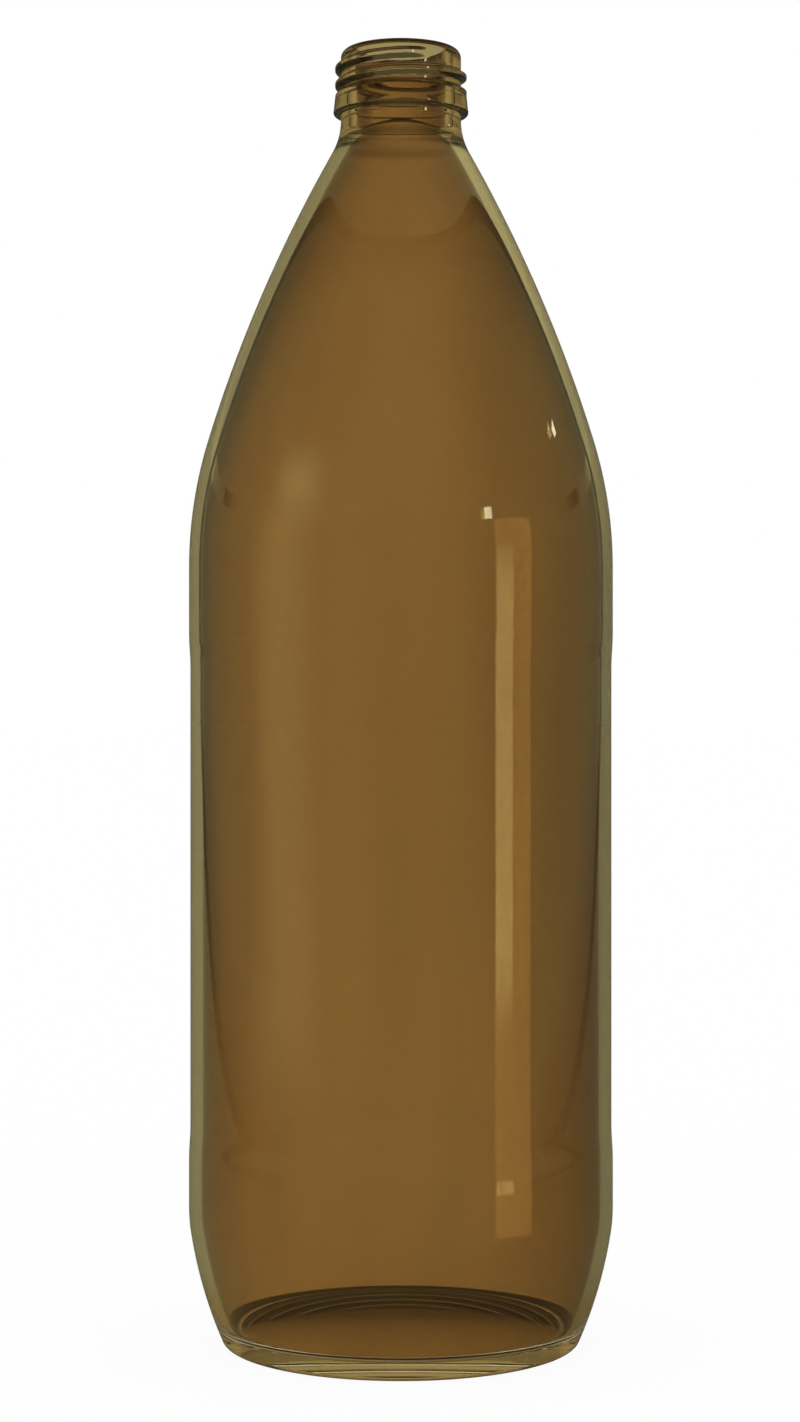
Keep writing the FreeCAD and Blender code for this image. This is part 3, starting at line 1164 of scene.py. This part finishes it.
    def _pale_floor(self) -> bpy.types.Material:
        """Make the floor's material.

        Returns:
            The material, which glows for the eye and through glass, and is grey to all else.
        """
        material = bpy.data.materials.new("pale_floor")
        nodes = NodeTree.on(material)
        camera, through, light = self._floor_light(nodes)
        white = nodes.math("ADD", nodes.math("MULTIPLY", camera, self.floor_paint),
                           nodes.math("MULTIPLY", through, self.floor_through_glass))
        seen = nodes.math("MAXIMUM", camera, through)
        shown = nodes.mix(camera, light, WHITE)
        colour = nodes.mix(seen, self.side_grey, nodes.scale(shown, white))
        lit = nodes.add("ShaderNodeBsdfDiffuse", {"Color": colour}).outputs[0]
        glow = nodes.add("ShaderNodeEmission", {
            "Color": shown, "Strength": nodes.math("SUBTRACT", seen, white)}).outputs[0]
        both = nodes.add("ShaderNodeAddShader", {0: lit, 1: glow}).outputs[0]
        nodes.add("ShaderNodeOutputMaterial", {"Surface": both})
        return material

    def _floor_light(self, nodes: NodeTree) -> tuple[Socket, Socket, Socket]:
        """Let the floor show the surroundings through glass, as if it weren't there.

        Behind and beside the bottle they are seen from a point before it, and far in front of it
        from a point above its middle. Between the two the floor is plain.

        Args:
            nodes: The floor's nodes.

        Returns:
            A socket that is 1 for camera rays, one that is 1 for rays through glass, and the
            colour that these see.
        """
        place = nodes.add("ShaderNodeTexCoord").outputs["Object"]
        depth = nodes.split(place)["Y"]
        shown_to, plain_from, plain_to, shown_from = self.floor_front
        ahead = nodes.math("LESS_THAN", depth, (plain_from + plain_to) / 2)
        eye = nodes.add("ShaderNodeCombineXYZ", {
            "Y": nodes.choose(ahead, self.floor_eye[0], 0.0), "Z": self.floor_eye[1]}).outputs[0]
        way = nodes.vector("NORMALIZE", nodes.vector("SUBTRACT", place, eye))
        camera, through, light = self._seen(nodes, way)
        glowing = nodes.math("MAXIMUM", nodes.ease(depth, plain_to, shown_from, 0.0, 1.0),
                             nodes.ease(depth, shown_to, plain_from, 1.0, 0.0))
        light = nodes.mix(glowing, self.floor_plain, light)
        return camera, through, nodes.scale(light, self._contact(nodes, place))

    def _contact(self, nodes: NodeTree, place: Socket) -> Socket:
        """Dim the floor under the bottle, the more the further back, and round its foot.

        Args:
            nodes: The floor's nodes.
            place: Object coordinates.

        Returns:
            The socket with what is left of the light there.
        """
        front, back, edge = metres(*self.under_bottle)
        depth = nodes.ease(nodes.split(place)["Y"], front, back, 0.0, 1.0, False)
        radius = nodes.vector("LENGTH", place)
        shade = nodes.math("MULTIPLY", nodes.math("MULTIPLY", depth, depth), self.under_shade)
        left = nodes.math("SUBTRACT", 1.0, nodes.math(
            "MULTIPLY", shade, nodes.math("LESS_THAN", radius, edge)))
        stood = nodes.band(radius, *metres(*self.contact_ring))
        return nodes.math("MULTIPLY", left, nodes.choose(stood, 1.0, self.contact_shade))

    def _world(self) -> None:
        """Surround the bottle: white to the eye, lit through the glass, grey in its reflections."""
        world = bpy.data.worlds.new("studio")
        nodes = NodeTree.on(world)
        way = nodes.add("ShaderNodeTexCoord").outputs["Generated"]
        camera, through, light = self._seen(nodes, way)
        diffuse = nodes.add("ShaderNodeLightPath").outputs["Is Diffuse Ray"]
        colour = nodes.mix(through, self.side_grey, light)
        colour = nodes.mix(nodes.math("MAXIMUM", camera, diffuse), colour, WHITE)
        sky = nodes.add("ShaderNodeBackground", {"Color": colour}).outputs[0]
        nodes.add("ShaderNodeOutputWorld", {"Surface": sky})
        bpy.context.scene.world = world

    def _camera(self) -> None:
        """Set up the camera, level with the middle of the bottle."""
        camera = bpy.data.cameras.new("camera")
        camera.lens = self.lens
        camera.sensor_width = self.sensor
        camera.clip_start = self.nearest
        view = bpy.data.objects.new("camera", camera)
        view.location = self.camera_place
        view.rotation_euler = (math.radians(90), 0.0, 0.0)
        bpy.context.scene.collection.objects.link(view)
        bpy.context.scene.camera = view


def main() -> None:
    """Build the bottle and its studio."""
    logging.basicConfig(level=logging.INFO, format="%(name)s: %(message)s")
    glass = Bottle().build()
    LOG.info("%s: %d vertices, %d faces", glass.name, len(glass.data.vertices), len(glass.data.polygons))
    Studio().build()


if __name__ == "__main__":
    main()
